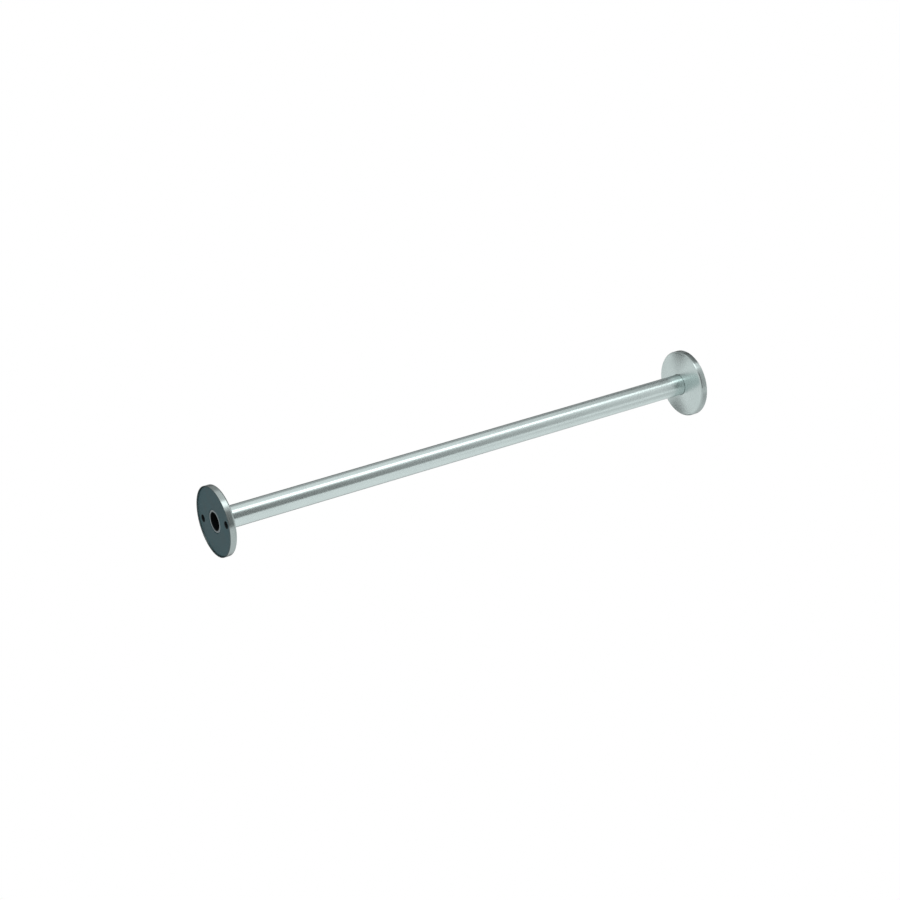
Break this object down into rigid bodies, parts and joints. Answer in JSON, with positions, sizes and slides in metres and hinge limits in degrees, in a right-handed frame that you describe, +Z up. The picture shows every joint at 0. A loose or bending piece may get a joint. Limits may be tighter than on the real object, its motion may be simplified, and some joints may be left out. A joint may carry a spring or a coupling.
{
  "type": "shower curtain rod",
  "caption": "Straight satin steel shower curtain rod with concealed wall plates and domed covers that slide back along the tube.",
  "frame": {"origin": "on the rod's axis, midway between the two wall plates", "axes": "+X along the rod to the right wall, +Z up, the screw holes of each plate side by side along Y"},
  "size_m": [0.6428, 0.08, 0.08],
  "materials": {
    "satin_tube": "satin, ground round the tube",
    "satin_cover": "satin, brushed in circles round the tube's hole",
    "dark_plate": "matt dark grey coating",
    "bare_spigot": "dull bare metal, blackened inside"
  },
  "bodies": {
    "rod": {"rod_tube": "satin_tube", "left_mounting_plate": "dark_plate", "right_mounting_plate": "dark_plate", "left_spigot": "bare_spigot", "right_spigot": "bare_spigot"},
    "left_cover": {"left_cover": "satin_cover"},
    "right_cover": {"right_cover": "satin_cover"}
  },
  "joints": [
    {"name": "left_cover_slide", "type": "slide", "parent": "rod", "child": "left_cover", "axis": [1, 0, 0], "range_m": [0, 0.3]},
    {"name": "right_cover_slide", "type": "slide", "parent": "rod", "child": "right_cover", "axis": [-1, 0, 0], "range_m": [0, 0.3]}
  ]
}
